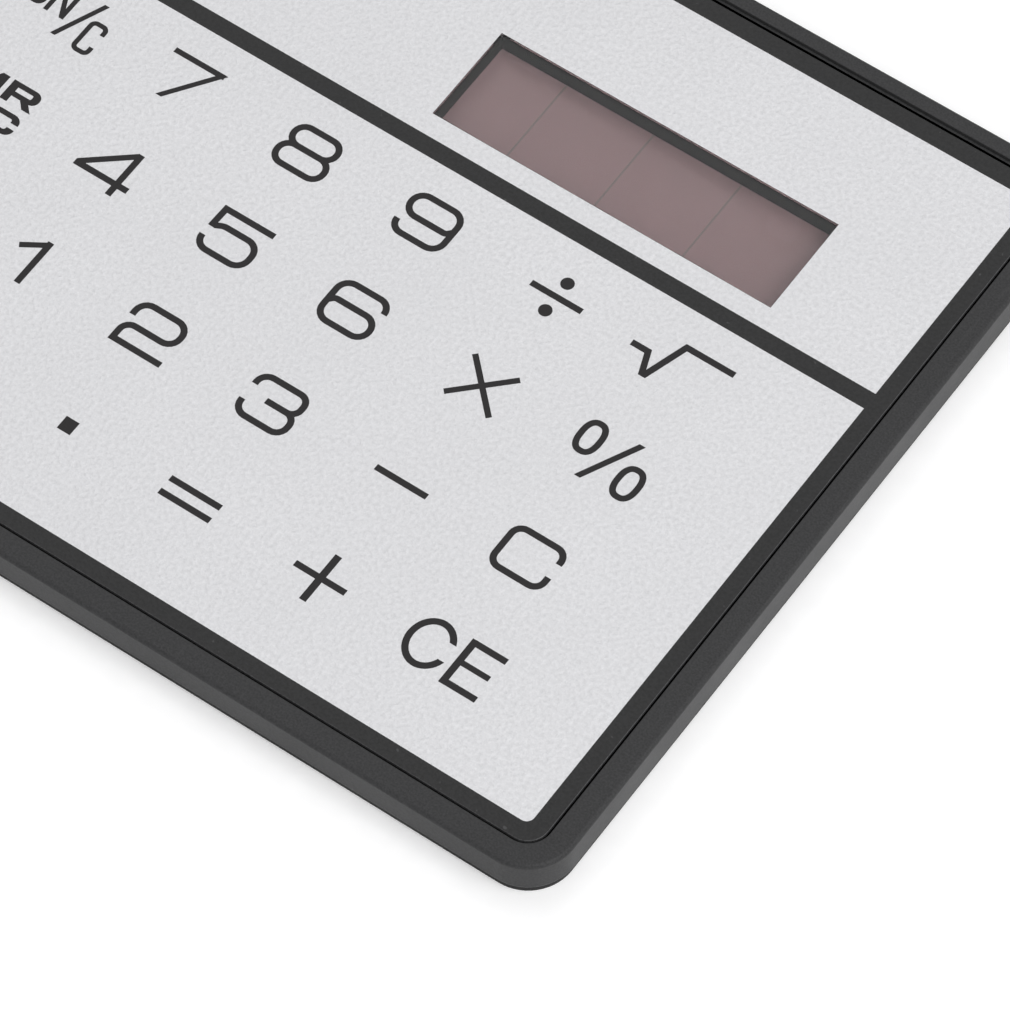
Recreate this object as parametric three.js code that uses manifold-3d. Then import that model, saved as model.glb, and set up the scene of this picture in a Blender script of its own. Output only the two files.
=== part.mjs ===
// Slim solar pocket calculator, lying on its back. Millimetres.
// Origin: middle of the underside. +X runs along the keyboard to the right, +Y towards the display, +Z up.
import * as THREE from "three";
import { mergeVertices } from "three/addons/utils/BufferGeometryUtils.js";
import Module from "manifold-3d";

const wasm = await Module();
wasm.setup();

// ---------- Case ----------
const BODY_WIDTH = 84.8;
const BODY_DEPTH = 54.4;
const BODY_HEIGHT = 2.9;
const BODY_CORNER = 3;
const EDGE_ROUNDING = 0.25;
const RIM_WIDTH = 1.5;
const BACK_RIM_WIDTH = 1.05; // along the edge above the display
const WALL = 1.2;
const COVER_THICKNESS = 0.5;
const COVER_INSET = 0.17;
const COVER_ROUNDING = 0.1;

// ---------- Heights of the layers above the underside ----------
const FILM_BOTTOM = 2.6;
const FILM_THICKNESS = 0.25;
const KEY_PLATE_BOTTOM = 1.55;
const UPPER_CEILING = 2;
const BOARD_BOTTOM = 0.6;
const BOARD_THICKNESS = 0.3;
const BOARD_TOP = BOARD_BOTTOM + BOARD_THICKNESS;
const LAYER_GAP = 0.02;
const SHEET_THICKNESS = 0.05;

// ---------- Face ----------
const FILM_GAP = 0.17;
const BACK_FILM_GAP = 0.45;
const FILM_CORNER = 1.3;
const RECESS_DEPTH = BODY_DEPTH - RIM_WIDTH - BACK_RIM_WIDTH;
const RECESS_Y = (RIM_WIDTH - BACK_RIM_WIDTH) / 2;
const FILM_DEPTH = RECESS_DEPTH - FILM_GAP - BACK_FILM_GAP;
const FILM_Y = RECESS_Y + (FILM_GAP - BACK_FILM_GAP) / 2;
const WINDOW_DEPTH = 6.8;
const WINDOW_Y = 13.57;
const WINDOW_SIDE_MARGIN = 10.73; // outer side of the case to the outer end of each window
const SOLAR_WINDOW_WIDTH = 23.2;
const LCD_WINDOW_WIDTH = 25.8;
const PANE_GAP = 0.02;
const SOLAR_WINDOW_X = BODY_WIDTH / 2 - WINDOW_SIDE_MARGIN - SOLAR_WINDOW_WIDTH / 2;
const LCD_WINDOW_X = LCD_WINDOW_WIDTH / 2 + WINDOW_SIDE_MARGIN - BODY_WIDTH / 2;

// ---------- Keys ----------
const COLUMN_PITCH = 8.56;
const ROW_Y = [3.95, -3.22, -10.86, -18.39];
const KEY_NAMES = [
  ["tax_minus", "gt", "on_c", "7", "8", "9", "divide", "root"],
  ["tax_plus", "backspace", "mr_mc", "4", "5", "6", "multiply", "percent"],
  ["rate", "sign", "m_minus", "1", "2", "3", "minus", "c"],
  ["mu", "double_zero", "m_plus", "0", "point", "equals", "plus", "ce"],
];
const COLUMNS = KEY_NAMES[0].length;
const PAD_WIDTH = 4.6;
const PAD_DEPTH = 3.6;
const PAD_CORNER = 0.7;
const PAD_BOTTOM = 1.75;
const PAD_TOP = FILM_BOTTOM - 0.03;
const TIP_RADIUS = 1.1;
const TIP_BOTTOM = 1.3;
const KEY_CLEARANCE = 0.8; // the film bends across this ring when a key is pressed

// ---------- Inside ----------
const INNER_HALF_WIDTH = BODY_WIDTH / 2 - WALL;
const INNER_HALF_DEPTH = BODY_DEPTH / 2 - WALL;
const KEYBOARD_TOP_Y = 7.2; // the keyboard's half of the case ends here
const TONGUE_GAP = 0.1;
const TONGUE_THICKNESS = 0.6;
const TONGUE_TOP = 0.9;
const SNAP = { length: 4, reach: 0.2, bottom: 0.64, top: 0.8, clearance: 0.08 };
const STACK_HALF_WIDTH = 39.8;
const STACK_BOTTOM_Y = -24.7;
const STACK_TOP_Y = 7;
const PIN = { radius: 0.5, bottom: 0.66, shoulderRadius: 0.9, shoulderBottom: 1.06, hole: 0.65 };
const BOARD_TOP_Y = 9.2;
const BOARD_SIDE_TOP_Y = 8.6;
// The board's tab between the display and the solar cell.
const ISLAND = { left: -3.5, right: 5.5, top: 19 };

const SKIRT_WALL = 0.8;
const SOLAR_CELL = { width: 28, depth: 9.2, bottom: 0.66, top: 1.2 };
const SOLAR_PAD = { width: 26, depth: 7.6 };
const WIRE_RADIUS = 0.2;
// From the board, over the edge of the solar cell, to its end contacts.
const RIGHT_LEAD_PATH = [[34.9, 6.4, 1.14], [34.8, 7.6, 1.2], [33.4, 9.8, 1.43], [33.3, 11.4, 1.43]];
const LEFT_LEAD_PATH = [[3.9, 8.1, 1.14], [4.9, 9.4, 1.2], [6.7, 10.8, 1.43], [6.9, 12.4, 1.43]];

const EPOXY_DROP = { x: 1, y: 12.2, radius: 3.2, height: 0.75 };
const CAPACITOR = { x: 2.8, y: 17.2, width: 2, depth: 1.25, height: 0.8 };
const DIODE = { x: -1.4, y: 17.2, width: 1.6, depth: 0.8, height: 0.6 };
const RESISTOR = { x: -1.4, y: 15.9, width: 1.6, depth: 0.8, height: 0.45 };

const LCD_GLASS_WIDTH = 29.8;
const LCD_GLASS_THICKNESS = 0.44;
const LCD_TOP_Y = 18.3;
const LCD_LEDGE_Y = 7.9;
const LCD_REAR_GLASS_Y = 9.4;
const LCD_REAR_GLASS_BOTTOM = 1.34;
const LCD_FRONT_GLASS_BOTTOM = LCD_REAR_GLASS_BOTTOM + LCD_GLASS_THICKNESS + LAYER_GAP;
const POLARIZER_THICKNESS = 0.14;
const POLARIZER_MARGIN = 0.55; // how far the front polarizer runs on behind the window's edges
const LCD_FOAM_THICKNESS = 0.54;
const ZEBRA = { width: 27.5, depth: 0.9 };
const LCD_POCKET_TOP = 2.42;
const LCD_POCKET_GAP = 0.2;

const BACK_PANEL = { width: 62, depth: 32, radius: 2, recess: 0.1 };

// ---------- Smoothness of the arcs ----------
const CASE_CORNER_SEGMENTS = 6;
const CORNER_SEGMENTS = 3;
const KEY_CORNER_SEGMENTS = 1;
const CIRCLE_SEGMENTS = 4;

// ---------- Materials ----------
function finish(color, roughness, metalness = 0) {
  return new THREE.MeshStandardMaterial({ color, roughness, metalness });
}

const materials = {
  case: finish(0x2e2e30, 0.6),
  cover: finish(0x242426, 0.65),
  film: finish(0xdddddf, 0.55, 0.1),
  pane: finish(0xeef2f2, 0.08),
  pusher: finish(0xb8b6ae, 0.7),
  cell: finish(0x5b4a48, 0.2),
  displayGlass: finish(0xc2cabd, 0.1),
  polarizer: finish(0x9aa598, 0.15),
  reflector: finish(0xa9ada4, 0.4, 0.5),
  zebra: finish(0x3a3a3c, 0.8),
  board: finish(0x2f6b45, 0.5),
  epoxy: finish(0x161616, 0.4),
  ceramic: finish(0xa88a66, 0.6),
  sheet: finish(0xd9dde0, 0.3),
  foam: finish(0x4b4b4d, 0.95),
  redWire: finish(0xa8322b, 0.5),
  blackWire: finish(0x1c1c1e, 0.5),
};

// ---------- Shapes and solids ----------
function rectangle(width, depth, radius, x = 0, y = 0) {
  const right = width / 2 - radius;
  const top = depth / 2 - radius;
  const shape = new THREE.Shape();
  shape.absarc(x + right, y + top, radius, 0, Math.PI / 2);
  shape.absarc(x - right, y + top, radius, Math.PI / 2, Math.PI);
  shape.absarc(x - right, y - top, radius, Math.PI, 1.5 * Math.PI);
  shape.absarc(x + right, y - top, radius, 1.5 * Math.PI, 2 * Math.PI);
  return shape;
}

function circle(radius, x = 0, y = 0) {
  return new THREE.Shape().absarc(x, y, radius, 0, 2 * Math.PI);
}

function toSolid(geometry) {
  const bare = geometry.clone();
  bare.deleteAttribute("normal");
  bare.deleteAttribute("uv");
  const merged = mergeVertices(bare, 1e-4);
  const mesh = new wasm.Mesh({
    numProp: 3,
    vertProperties: merged.attributes.position.array,
    triVerts: new Uint32Array(merged.index.array),
  });
  return new wasm.Manifold(mesh);
}

// A flat outline stood up from one height to another, with rounded edges where rounding isn't 0.
// An arc of the outline, however long, becomes twice curveSegments straight sides.
function slab(shape, bottom, top, curveSegments = CORNER_SEGMENTS, rounding = 0) {
  const geometry = new THREE.ExtrudeGeometry(shape, {
    depth: top - bottom - 2 * rounding,
    steps: 1,
    curveSegments,
    bevelEnabled: rounding > 0,
    bevelThickness: rounding,
    bevelSize: rounding,
    bevelOffset: -rounding,
    bevelSegments: 3,
  });
  return toSolid(geometry.translate(0, 0, bottom + rounding));
}

function post(x, y, radius, bottom, top) {
  return slab(circle(radius, x, y), bottom, top, CIRCLE_SEGMENTS);
}

function block(left, right, front, back, bottom, top) {
  const geometry = new THREE.BoxGeometry(right - left, back - front, top - bottom);
  return toSolid(geometry.translate((left + right) / 2, (front + back) / 2, (bottom + top) / 2));
}

function blockAt(x, y, width, depth, bottom, top) {
  return block(x - width / 2, x + width / 2, y - depth / 2, y + depth / 2, bottom, top);
}

function joined(solids) {
  return solids.reduce((whole, piece) => whole.add(piece));
}

function cut(solid, tools) {
  return tools.reduce((rest, tool) => rest.subtract(tool), solid);
}

const calculator = new THREE.Group();
calculator.name = "pocket_calculator";

function addNode(name, solid, material) {
  const { vertProperties, triVerts } = solid.getMesh();
  const geometry = new THREE.BufferGeometry();
  geometry.setAttribute("position", new THREE.BufferAttribute(new Float32Array(vertProperties), 3));
  geometry.setIndex(new THREE.BufferAttribute(new Uint32Array(triVerts), 1));
  geometry.computeVertexNormals();
  const mesh = new THREE.Mesh(geometry, material);
  mesh.name = name;
  calculator.add(mesh);
}

// ---------- Places that repeat ----------
const keys = KEY_NAMES.flatMap((names, row) =>
  names.map((name, column) => ({
    name,
    x: (column - (COLUMNS - 1) / 2) * COLUMN_PITCH,
    y: ROW_Y[row],
  })),
);

// The locating pins stand in the webs between the keys.
const pinPlaces = [-3, 0, 3].flatMap((step) =>
  [0, 2].map((row) => ({ x: step * COLUMN_PITCH, y: (ROW_Y[row] + ROW_Y[row + 1]) / 2 })),
);

// The cover's snaps: three on each long side, one on each short side.
const snapPlaces = [
  ...[-27, 0, 27].flatMap((x) => [1, -1].map((side) => ({ x, side, alongX: true }))),
  ...[1, -1].map((side) => ({ x: 0, side, alongX: false })),
];

function snapBlock({ x, side, alongX }, clearance) {
  const face = (alongX ? INNER_HALF_DEPTH : INNER_HALF_WIDTH) - TONGUE_GAP;
  const depth = TONGUE_THICKNESS / 2 + SNAP.reach + clearance;
  const middle = side * (face - TONGUE_THICKNESS / 2 + depth / 2);
  const length = SNAP.length + 2 * clearance;
  const bottom = SNAP.bottom - clearance;
  const top = SNAP.top + clearance;
  return alongX
    ? blockAt(x, middle, length, depth, bottom, top)
    : blockAt(middle, x, depth, length, bottom, top);
}

function windowBlock(x, width, margin, bottom, top) {
  return blockAt(x, WINDOW_Y, width + 2 * margin, WINDOW_DEPTH + 2 * margin, bottom, top);
}

// ---------- Case pieces ----------
function frontFrame() {
  const corner = BODY_CORNER - WALL;
  const upperDepth = INNER_HALF_DEPTH - KEYBOARD_TOP_Y;
  const above = BODY_HEIGHT + 1;
  const shell = slab(
    rectangle(BODY_WIDTH, BODY_DEPTH, BODY_CORNER),
    COVER_THICKNESS,
    BODY_HEIGHT,
    CASE_CORNER_SEGMENTS,
    EDGE_ROUNDING,
  );
  const filmRecess = slab(
    rectangle(BODY_WIDTH - 2 * RIM_WIDTH, RECESS_DEPTH, BODY_CORNER - RIM_WIDTH, 0, RECESS_Y),
    FILM_BOTTOM,
    above,
  );
  const cavity = slab(
    rectangle(2 * INNER_HALF_WIDTH, 2 * INNER_HALF_DEPTH, corner),
    0,
    KEY_PLATE_BOTTOM,
  );
  const upperCavity = slab(
    rectangle(2 * INNER_HALF_WIDTH, upperDepth, corner, 0, INNER_HALF_DEPTH - upperDepth / 2),
    KEY_PLATE_BOTTOM - LAYER_GAP,
    UPPER_CEILING,
  );
  const lcdPocket = block(
    LCD_WINDOW_X - LCD_GLASS_WIDTH / 2 - LCD_POCKET_GAP,
    LCD_WINDOW_X + LCD_GLASS_WIDTH / 2 + LCD_POCKET_GAP,
    LCD_LEDGE_Y - LCD_POCKET_GAP,
    LCD_TOP_Y + LCD_POCKET_GAP,
    KEY_PLATE_BOTTOM,
    LCD_POCKET_TOP,
  );
  const hollowed = cut(shell, [filmRecess, cavity, upperCavity, lcdPocket]);

  const skirt = windowBlock(
    SOLAR_WINDOW_X,
    SOLAR_WINDOW_WIDTH,
    SKIRT_WALL,
    SOLAR_CELL.top + LAYER_GAP,
    FILM_BOTTOM - LAYER_GAP,
  );
  const pins = pinPlaces.flatMap(({ x, y }) => [
    post(x, y, PIN.shoulderRadius, PIN.shoulderBottom, KEY_PLATE_BOTTOM + LAYER_GAP),
    post(x, y, PIN.radius, PIN.bottom, KEY_PLATE_BOTTOM),
  ]);
  const openings = [
    windowBlock(SOLAR_WINDOW_X, SOLAR_WINDOW_WIDTH, 0, 0, above),
    windowBlock(LCD_WINDOW_X, LCD_WINDOW_WIDTH, 0, 0, above),
  ];
  const keyHoles = keys.map(({ x, y }) => {
    const width = PAD_WIDTH + 2 * KEY_CLEARANCE;
    const depth = PAD_DEPTH + 2 * KEY_CLEARANCE;
    return slab(rectangle(width, depth, PAD_CORNER + KEY_CLEARANCE, x, y), 0, above, KEY_CORNER_SEGMENTS);
  });
  const notches = snapPlaces.map((place) => snapBlock(place, SNAP.clearance));
  return cut(joined([hollowed, skirt, ...pins]), [...openings, ...keyHoles, ...notches]);
}

function backCover() {
  const plate = slab(
    rectangle(BODY_WIDTH - 2 * COVER_INSET, BODY_DEPTH - 2 * COVER_INSET, BODY_CORNER - COVER_INSET),
    0,
    COVER_THICKNESS,
    CASE_CORNER_SEGMENTS,
    COVER_ROUNDING,
  );
  const panel = slab(
    rectangle(BACK_PANEL.width, BACK_PANEL.depth, BACK_PANEL.radius),
    -1,
    BACK_PANEL.recess,
  );
  const outerWidth = 2 * (INNER_HALF_WIDTH - TONGUE_GAP);
  const outerDepth = 2 * (INNER_HALF_DEPTH - TONGUE_GAP);
  const outerCorner = BODY_CORNER - WALL - TONGUE_GAP;
  const tongueOutside = slab(
    rectangle(outerWidth, outerDepth, outerCorner),
    COVER_THICKNESS - LAYER_GAP,
    TONGUE_TOP,
  );
  const tongueInside = slab(
    rectangle(
      outerWidth - 2 * TONGUE_THICKNESS,
      outerDepth - 2 * TONGUE_THICKNESS,
      outerCorner - TONGUE_THICKNESS,
    ),
    0,
    BODY_HEIGHT,
  );
  const snaps = snapPlaces.map((place) => snapBlock(place, 0));
  return joined([cut(plate, [panel]), cut(tongueOutside, [tongueInside]), ...snaps]);
}

// ---------- Face pieces ----------
function faceFilm() {
  const width = BODY_WIDTH - 2 * (RIM_WIDTH + FILM_GAP);
  const sheet = slab(
    rectangle(width, FILM_DEPTH, FILM_CORNER, 0, FILM_Y),
    FILM_BOTTOM,
    FILM_BOTTOM + FILM_THICKNESS,
  );
  return cut(sheet, [
    windowBlock(SOLAR_WINDOW_X, SOLAR_WINDOW_WIDTH, 0, 0, BODY_HEIGHT),
    windowBlock(LCD_WINDOW_X, LCD_WINDOW_WIDTH, 0, 0, BODY_HEIGHT),
  ]);
}

function pane(x, width) {
  return windowBlock(x, width, -PANE_GAP, FILM_BOTTOM, FILM_BOTTOM + FILM_THICKNESS);
}

function keyPusher({ x, y }) {
  const outline = rectangle(PAD_WIDTH, PAD_DEPTH, PAD_CORNER, x, y);
  const pad = slab(outline, PAD_BOTTOM, PAD_TOP, KEY_CORNER_SEGMENTS);
  return joined([pad, post(x, y, TIP_RADIUS, TIP_BOTTOM, PAD_BOTTOM + LAYER_GAP)]);
}

// ---------- Switch stack and board ----------
function keyboardSheet(bottom) {
  const top = bottom + SHEET_THICKNESS;
  return block(-STACK_HALF_WIDTH, STACK_HALF_WIDTH, STACK_BOTTOM_Y, STACK_TOP_Y, bottom, top);
}

function pinHoles() {
  return pinPlaces.map(({ x, y }) => post(x, y, PIN.hole, 0, BODY_HEIGHT));
}

function spacerSheet() {
  const contactHoles = keys.map(({ x, y }) => post(x, y, 2 * TIP_RADIUS, 0, BODY_HEIGHT));
  return cut(keyboardSheet(BOARD_TOP + LAYER_GAP), [...contactHoles, ...pinHoles()]);
}

function contactSheet() {
  return cut(keyboardSheet(BOARD_TOP + 2 * LAYER_GAP + SHEET_THICKNESS), pinHoles());
}

function insulatingSheet() {
  return keyboardSheet(COVER_THICKNESS + LAYER_GAP);
}

function circuitBoard() {
  const outline = new THREE.Shape(
    [
      [-STACK_HALF_WIDTH, STACK_BOTTOM_Y],
      [STACK_HALF_WIDTH, STACK_BOTTOM_Y],
      [STACK_HALF_WIDTH, BOARD_SIDE_TOP_Y],
      [ISLAND.right, BOARD_SIDE_TOP_Y],
      [ISLAND.right, ISLAND.top],
      [ISLAND.left, ISLAND.top],
      [ISLAND.left, BOARD_TOP_Y],
      [-STACK_HALF_WIDTH, BOARD_TOP_Y],
    ].map(([x, y]) => new THREE.Vector2(x, y)),
  );
  return cut(slab(outline, BOARD_BOTTOM, BOARD_TOP), pinHoles());
}

// The chip lies under a drop of black epoxy, a flat dome.
function epoxyDrop({ x, y, radius, height }) {
  const sphereRadius = (radius * radius + height * height) / (2 * height);
  const halfAngle = Math.asin(radius / sphereRadius);
  const steps = 5;
  const profile = [new THREE.Vector2(0, 0)];
  for (let i = 0; i <= steps; i++) {
    const angle = halfAngle * (1 - i / steps);
    const rise = sphereRadius * (Math.cos(angle) - 1) + height;
    profile.push(new THREE.Vector2(i === steps ? 0 : sphereRadius * Math.sin(angle), rise));
  }
  const dome = new THREE.LatheGeometry(profile, 20).rotateX(Math.PI / 2);
  return toSolid(dome.translate(x, y, BOARD_TOP + LAYER_GAP));
}

function boardPart({ x, y, width, depth, height }) {
  return blockAt(x, y, width, depth, BOARD_TOP + LAYER_GAP, BOARD_TOP + LAYER_GAP + height);
}

function wire(points) {
  const path = new THREE.CatmullRomCurve3(points.map(([x, y, z]) => new THREE.Vector3(x, y, z)));
  const options = { extrudePath: path, steps: 8, curveSegments: CIRCLE_SEGMENTS };
  return toSolid(new THREE.ExtrudeGeometry(circle(WIRE_RADIUS), options));
}

// ---------- Solar cell and display ----------
function solarCell() {
  const { width, depth, bottom, top } = SOLAR_CELL;
  return blockAt(SOLAR_WINDOW_X, WINDOW_Y, width, depth, bottom, top);
}

function lcdLayer(front, bottom, thickness) {
  const half = LCD_GLASS_WIDTH / 2;
  return block(LCD_WINDOW_X - half, LCD_WINDOW_X + half, front, LCD_TOP_Y, bottom, bottom + thickness);
}

function frontPolarizer() {
  const bottom = LCD_FRONT_GLASS_BOTTOM + LCD_GLASS_THICKNESS + LAYER_GAP;
  const top = bottom + POLARIZER_THICKNESS;
  return windowBlock(LCD_WINDOW_X, LCD_WINDOW_WIDTH, POLARIZER_MARGIN, bottom, top);
}

function solarPad() {
  const bottom = COVER_THICKNESS + LAYER_GAP;
  const top = SOLAR_CELL.bottom - LAYER_GAP;
  return blockAt(SOLAR_WINDOW_X, WINDOW_Y, SOLAR_PAD.width, SOLAR_PAD.depth, bottom, top);
}

function zebraStrip() {
  const bottom = BOARD_TOP + LAYER_GAP;
  const top = LCD_FRONT_GLASS_BOTTOM - LAYER_GAP;
  const y = (LCD_LEDGE_Y + LCD_REAR_GLASS_Y) / 2;
  return blockAt(LCD_WINDOW_X, y, ZEBRA.width, ZEBRA.depth, bottom, top);
}

// ---------- Assembly ----------
addNode("front_frame", frontFrame(), materials.case);
addNode("back_cover", backCover(), materials.cover);
addNode("face_film", faceFilm(), materials.film);
addNode("solar_window", pane(SOLAR_WINDOW_X, SOLAR_WINDOW_WIDTH), materials.pane);
addNode("lcd_window", pane(LCD_WINDOW_X, LCD_WINDOW_WIDTH), materials.pane);

keys.forEach((key) => addNode(`key_${key.name}`, keyPusher(key), materials.pusher));

addNode("spacer_sheet", spacerSheet(), materials.sheet);
addNode("contact_sheet", contactSheet(), materials.sheet);
addNode("insulating_sheet", insulatingSheet(), materials.sheet);
addNode("circuit_board", circuitBoard(), materials.board);
addNode("chip_epoxy_drop", epoxyDrop(EPOXY_DROP), materials.epoxy);
addNode("smoothing_capacitor", boardPart(CAPACITOR), materials.ceramic);
addNode("clamp_diode", boardPart(DIODE), materials.epoxy);
addNode("clock_resistor", boardPart(RESISTOR), materials.epoxy);

addNode("solar_cell", solarCell(), materials.cell);
addNode("solar_cell_pad", solarPad(), materials.foam);
addNode("solar_lead_positive", wire(RIGHT_LEAD_PATH), materials.redWire);
addNode("solar_lead_negative", wire(LEFT_LEAD_PATH), materials.blackWire);

addNode(
  "lcd_front_glass",
  lcdLayer(LCD_LEDGE_Y, LCD_FRONT_GLASS_BOTTOM, LCD_GLASS_THICKNESS),
  materials.displayGlass,
);
addNode(
  "lcd_rear_glass",
  lcdLayer(LCD_REAR_GLASS_Y, LCD_REAR_GLASS_BOTTOM, LCD_GLASS_THICKNESS),
  materials.displayGlass,
);
addNode("lcd_front_polarizer", frontPolarizer(), materials.polarizer);
addNode(
  "lcd_reflector",
  lcdLayer(
    LCD_REAR_GLASS_Y,
    LCD_REAR_GLASS_BOTTOM - LAYER_GAP - POLARIZER_THICKNESS,
    POLARIZER_THICKNESS,
  ),
  materials.reflector,
);
addNode("lcd_foam_pad", lcdLayer(LCD_REAR_GLASS_Y, BOARD_BOTTOM, LCD_FOAM_THICKNESS), materials.foam);
addNode("zebra_strip", zebraStrip(), materials.zebra);

export default calculator;
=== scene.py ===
import math

import bmesh
import bpy
import numpy as np
from mathutils import Matrix, Vector


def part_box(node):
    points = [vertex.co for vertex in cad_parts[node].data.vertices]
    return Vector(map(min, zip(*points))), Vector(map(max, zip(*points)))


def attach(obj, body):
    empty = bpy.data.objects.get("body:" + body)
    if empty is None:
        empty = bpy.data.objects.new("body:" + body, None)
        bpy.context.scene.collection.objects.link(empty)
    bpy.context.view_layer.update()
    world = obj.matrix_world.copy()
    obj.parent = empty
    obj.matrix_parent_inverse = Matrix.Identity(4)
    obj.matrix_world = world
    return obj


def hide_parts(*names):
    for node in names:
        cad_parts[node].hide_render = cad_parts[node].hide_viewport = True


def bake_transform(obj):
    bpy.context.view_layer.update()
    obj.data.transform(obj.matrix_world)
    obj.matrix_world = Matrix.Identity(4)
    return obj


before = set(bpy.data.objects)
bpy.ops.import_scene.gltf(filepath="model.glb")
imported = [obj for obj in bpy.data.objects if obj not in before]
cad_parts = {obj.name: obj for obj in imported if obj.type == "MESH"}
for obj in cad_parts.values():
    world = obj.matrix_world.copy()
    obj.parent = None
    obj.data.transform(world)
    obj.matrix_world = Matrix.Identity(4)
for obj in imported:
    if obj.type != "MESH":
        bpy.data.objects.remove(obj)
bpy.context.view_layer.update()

# Shapes are worked out in millimetres and turned into metres when a piece is made.
MM = 0.001


def node_box(name):
    """The lowest and highest corner of a CAD node, in millimetres."""
    low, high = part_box(name)
    return low / MM, high / MM


def centre_of(box):
    low, high = box
    return (low + high) / 2


def half_size(box):
    low, high = box
    return (high - low) / 2


# ---------- Sizes taken from the CAD frame ----------
CASE = node_box("front_frame")
COVER = node_box("back_cover")
FILM = node_box("face_film")
SOLAR_PANE = node_box("solar_window")
LCD_PANE = node_box("lcd_window")
SOLAR_CELL = node_box("solar_cell")
LCD_FACE = node_box("lcd_front_polarizer")
KEYS = {
    name.removeprefix("key_"): node_box(name)
    for name in sorted(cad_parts)
    if name.startswith("key_")
}

HALF_WIDTH = CASE[1].x
HALF_DEPTH = CASE[1].y
CASE_TOP = CASE[1].z
SEAM = CASE[0].z                    # the case's front half starts here, on the back cover
FILM_BOTTOM = FILM[0].z
FILM_TOP = FILM[1].z

# ---------- Sizes of shapes inside the nodes ----------
CORNER = 3.0                        # the case's corners, seen from above
EDGE_ROUNDING = 0.28
FILM_GAP = 0.17                     # the groove round the film
BACK_FILM_GAP = 0.45                # the same groove along the edge above the display
RIM = HALF_WIDTH - FILM[1].x - FILM_GAP
RECESS_FRONT = FILM[0].y - FILM_GAP
RECESS_BACK = FILM[1].y + BACK_FILM_GAP
RECESS_CORNER = CORNER - RIM
RIM_INNER_ROUNDING = 0.05
FILM_CORNER = 1.3
FILM_CHAMFER = 0.03
WALL = 1.2
KEY_PLATE_BOTTOM = 1.55
UPPER_PLATE_BOTTOM = 2.0
UPPER_PLATE_Y = 7.2                 # the keyboard's plate ends here
LCD_POCKET_TOP = 2.42
LCD_POCKET_GAP = 0.2
PANE_GAP = 0.02
PANE_CHAMFER = 0.012
WINDOW_SKIRT = 0.8
KEY_CLEARANCE = 0.8                 # the ring where the film bends round a pressed key
PATCH_MARGIN = 0.7                  # flat film round that ring
PAD_CORNER = 0.7

# The film's two silver panels and the black print round them.
PANEL_HALF_WIDTH = 39.65
PANEL_HALF_DEPTH = 24.45
PANEL_CORNER = 0.5
DIVIDER_BOTTOM = 7.60
DIVIDER_TOP = 8.76

# The solar cell is four strips of silicon with a thin line between them.
CELL_STRIP = 6.05
CELL_MIDDLE_LINE = 19.05
CELL_LINE = 0.13

INK_HEIGHT = 0.010
INK_LAYER = 0.001
INK_STEP = 0.35

INK_DEPTH = 0.02                    # how far the ink reaches into the film

CORNER_STEPS = 14                   # straight sides in each of the case's corners
SMALLEST_CORNER = 0.15
SHARP_ANGLE = math.radians(30)      # faces that meet at a larger angle keep a sharp edge


# ---------- Mesh tools ----------
def rounded_loop(points, corners, steps=8):
    """A closed outline through points, each corner rounded by its own radius, as (x, y) pairs."""
    radii = corners if isinstance(corners, (list, tuple)) else [corners] * len(points)
    return bend_path(points, radii, steps, closed=True)


def bend_path(points, radii, steps, closed):
    """points with an arc of the given radius at each corner, and open ends left as they are."""
    count = len(points)
    path = []
    for index, (point, radius) in enumerate(zip(points, radii)):
        at_end = not closed and index in (0, count - 1)
        if at_end or radius <= 0:
            path.append(tuple(point))
            continue
        corner = Vector(point)
        back = Vector(points[index - 1]) - corner
        ahead = Vector(points[(index + 1) % count]) - corner
        half_angle = back.angle(ahead) / 2
        back_room = back.length if not closed and index == 1 else back.length / 2
        ahead_room = ahead.length if not closed and index == count - 2 else ahead.length / 2
        run = min(radius / math.tan(half_angle), back_room, ahead_room)
        reach = run / math.cos(half_angle)
        middle = corner + (back.normalized() + ahead.normalized()).normalized() * reach
        start = corner + back.normalized() * run - middle
        turn = start.angle_signed(corner + ahead.normalized() * run - middle)
        for step in range(steps + 1):
            arm = Matrix.Rotation(-turn * step / steps, 2) @ start
            path.append(tuple(middle + arm))
    return without_repeats(path)


def without_repeats(path):
    """The path without points that lie on the one before."""
    nearest = 0.001
    kept = path[:1]
    for point in path[1:]:
        if math.dist(point, kept[-1]) > nearest:
            kept.append(point)
    return kept


def rectangle(half_x, half_y, corner, middle=(0.0, 0.0), steps=12):
    """A closed rectangle outline, anticlockwise from above."""
    x, y = middle
    points = [
        (x - half_x, y - half_y),
        (x + half_x, y - half_y),
        (x + half_x, y + half_y),
        (x - half_x, y + half_y),
    ]
    return rounded_loop(points, corner, steps)


def case_outline(inset):
    """The case's outline seen from above, moved inwards by some millimetres."""
    corner = max(CORNER - inset, SMALLEST_CORNER)
    return rectangle(HALF_WIDTH - inset, HALF_DEPTH - inset, corner, steps=CORNER_STEPS)


def recess_outline(grow):
    """The outline of the recess that the film lies in, grown by some millimetres."""
    half_x = HALF_WIDTH - RIM + grow
    half_y = (RECESS_BACK - RECESS_FRONT) / 2 + grow
    middle_y = (RECESS_BACK + RECESS_FRONT) / 2
    corner = max(RECESS_CORNER + grow, SMALLEST_CORNER)
    return rectangle(half_x, half_y, corner, (0, middle_y), CORNER_STEPS)


def hole_round(box, grow):
    """The outline of a rectangular hole that leaves a gap round a box."""
    middle = centre_of(box)
    size = half_size(box)
    return rectangle(size.x + grow, size.y + grow, 0, (middle.x, middle.y))


def add_ring(mesh, outline, z):
    return [mesh.verts.new((x, y, z)) for x, y in outline]


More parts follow.
